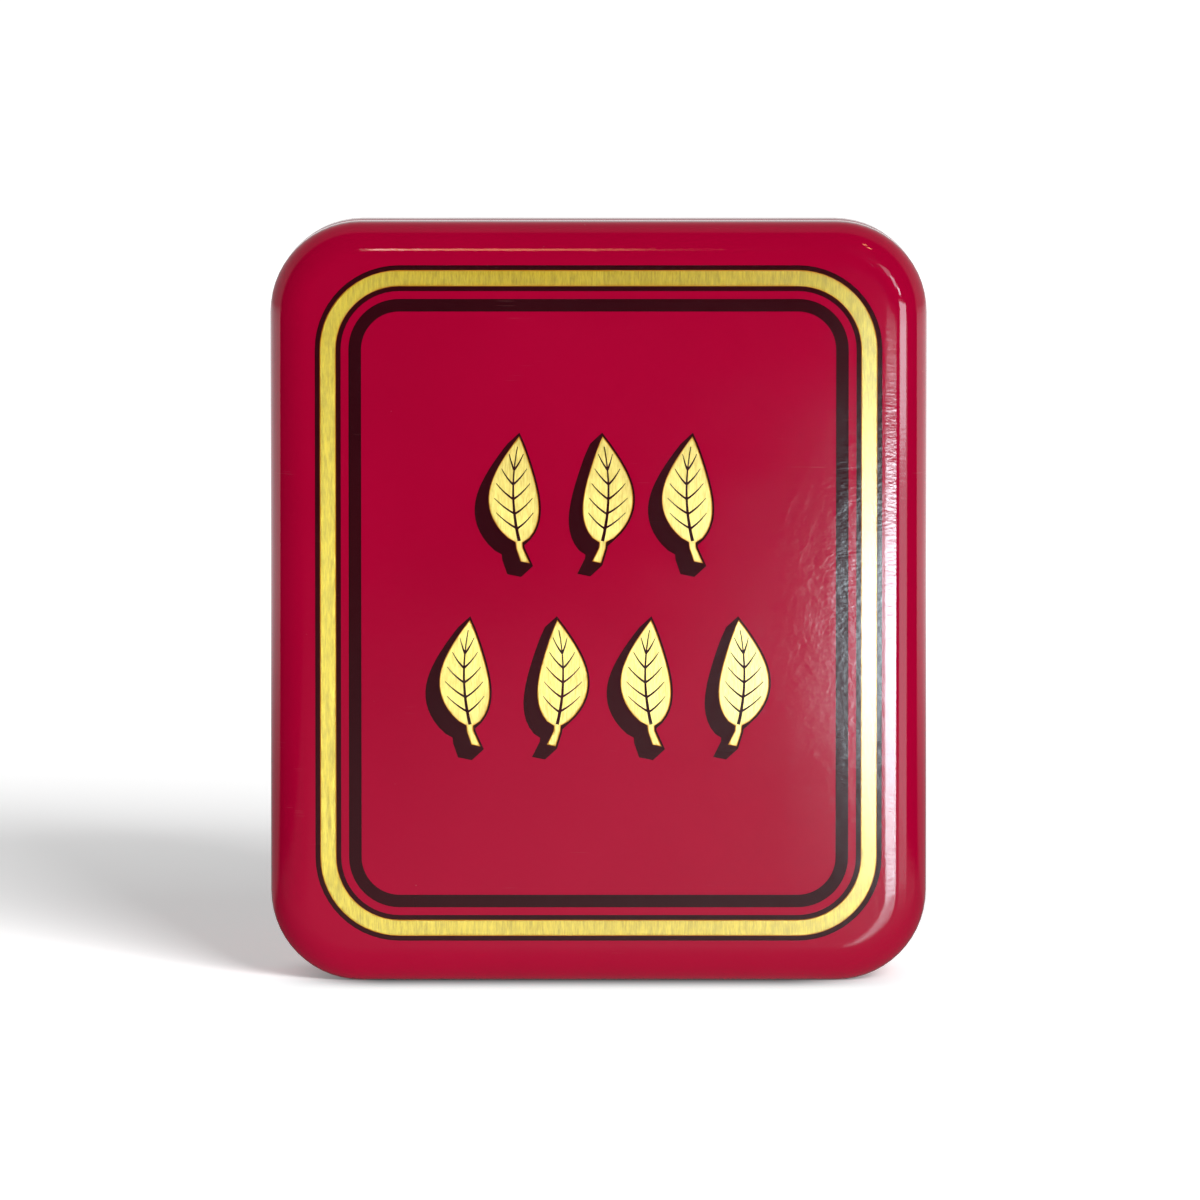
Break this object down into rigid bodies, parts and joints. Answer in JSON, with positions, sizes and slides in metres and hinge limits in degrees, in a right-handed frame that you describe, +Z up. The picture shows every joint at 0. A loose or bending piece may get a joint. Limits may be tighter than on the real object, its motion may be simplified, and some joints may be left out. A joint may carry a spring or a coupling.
{
  "type": "tea tin",
  "caption": "Shut flat tea tin with round corners and a slip lid, red with a gold and black border and gold tea leaves.",
  "frame": {"origin": "below the middle of the tin, on the surface that it stands on", "axes": "+Z up, +X to the right along the front, the lid's face towards -Y"},
  "size_m": [0.082, 0.024, 0.095],
  "materials": {
    "lid_paint": "gloss",
    "pan_paint": "gloss",
    "gold_print": "satin, clear yellow over brushed tinplate",
    "black_print": "gloss"
  },
  "bodies": {
    "root": {"lid": "lid_paint", "tin_pan": "pan_paint"}
  },
  "joints": []
}
